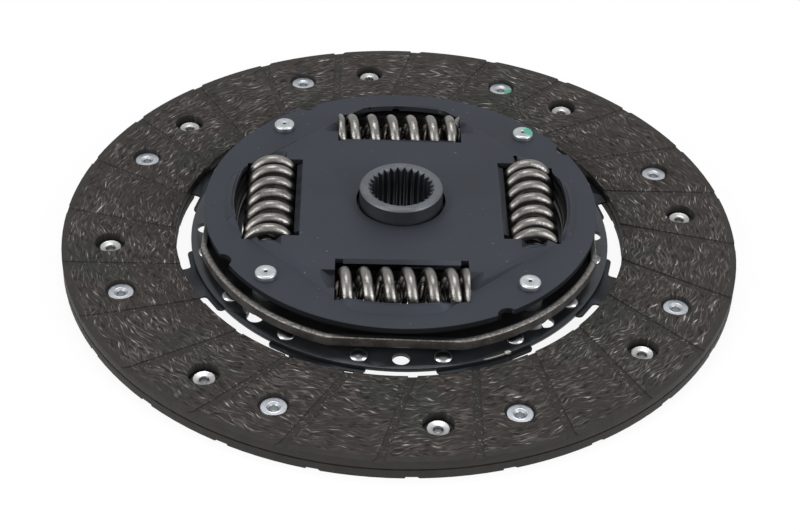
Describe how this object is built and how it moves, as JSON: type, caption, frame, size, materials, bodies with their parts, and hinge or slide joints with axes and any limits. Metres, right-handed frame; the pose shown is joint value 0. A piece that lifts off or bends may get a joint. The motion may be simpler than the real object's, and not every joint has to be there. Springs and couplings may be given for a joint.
{
  "type": "clutch disc",
  "caption": "Clutch disc: grooved friction ring on cushion segments, splined hub and a damper of nested coil springs between a pressed cover and rear plate.",
  "frame": {"origin": "on the hub axis, in the plane of the flywheel-side friction face, which the disc lies on", "axes": "+Z along the hub axis towards the gearbox side, with the cover plate up; the picture's camera is on the -Y side"},
  "size_m": [0.24, 0.24, 0.0255],
  "materials": {
    "facing": "matte moulded yarn friction lining",
    "segment_steel": "blued spring steel, satin",
    "retainer_steel": "dark phosphated sheet steel",
    "rear_plate_steel": "pressed sheet steel with a burnished rim",
    "cover_steel": "satin pressed sheet steel",
    "flange_steel": "blanked steel",
    "hub_steel": "phosphated forged steel",
    "pin_steel": "turned steel, bright",
    "spring_steel": "hard-drawn spring wire, bright",
    "inner_spring_steel": "hard-drawn spring wire, dull",
    "friction_bush": "moulded friction plastic",
    "rivet_zinc": "zinc plated, formed",
    "segment_rivet_steel": "black oxide, formed"
  },
  "bodies": {
    "disc": {"facing_front": "facing", "facing_rear": "facing", "cushion_segment_1": "segment_steel", "cushion_segment_2": "segment_steel", "cushion_segment_3": "segment_steel", "cushion_segment_4": "segment_steel", "cushion_segment_5": "segment_steel", "cushion_segment_6": "segment_steel", "cushion_segment_7": "segment_steel", "cushion_segment_8": "segment_steel", "retainer_plate": "retainer_steel", "rear_plate": "rear_plate_steel", "cover_plate": "cover_steel", "stop_pin_1": "pin_steel", "stop_pin_2": "pin_steel", "stop_pin_3": "pin_steel", "stop_pin_4": "pin_steel", "friction_bush": "friction_bush", "friction_washer": "friction_bush", "disc_spring": "flange_steel", "facing_rivets_front": "rivet_zinc", "facing_rivets_rear": "rivet_zinc", "segment_rivets": "segment_rivet_steel"},
    "hub_assembly": {"hub": "hub_steel", "hub_flange": "flange_steel"},
    "springs": {"damper_spring_1": "spring_steel", "damper_spring_2": "spring_steel", "damper_spring_3": "spring_steel", "damper_spring_4": "spring_steel", "inner_spring_1": "inner_spring_steel", "inner_spring_2": "inner_spring_steel", "inner_spring_3": "inner_spring_steel", "inner_spring_4": "inner_spring_steel"}
  },
  "joints": [
    {"name": "damper_twist", "type": "hinge", "parent": "disc", "child": "hub_assembly", "pos_m": [0, 0, 0.0138], "axis": [0, 0, 1], "range_deg": [-8, 8], "stiffness_Nm_per_rad": 1850},
    {"name": "spring_travel", "type": "hinge", "parent": "disc", "child": "springs", "pos_m": [0, 0, 0.0138], "axis": [0, 0, 1], "range_deg": [-4.1, 4.1], "deforming": ["damper_spring_1", "damper_spring_2", "damper_spring_3", "damper_spring_4", "inner_spring_1", "inner_spring_2", "inner_spring_3", "inner_spring_4"]}
  ],
  "couplings": [
    {"joint": "spring_travel", "follows": "damper_twist", "ratio": 0.5}
  ]
}
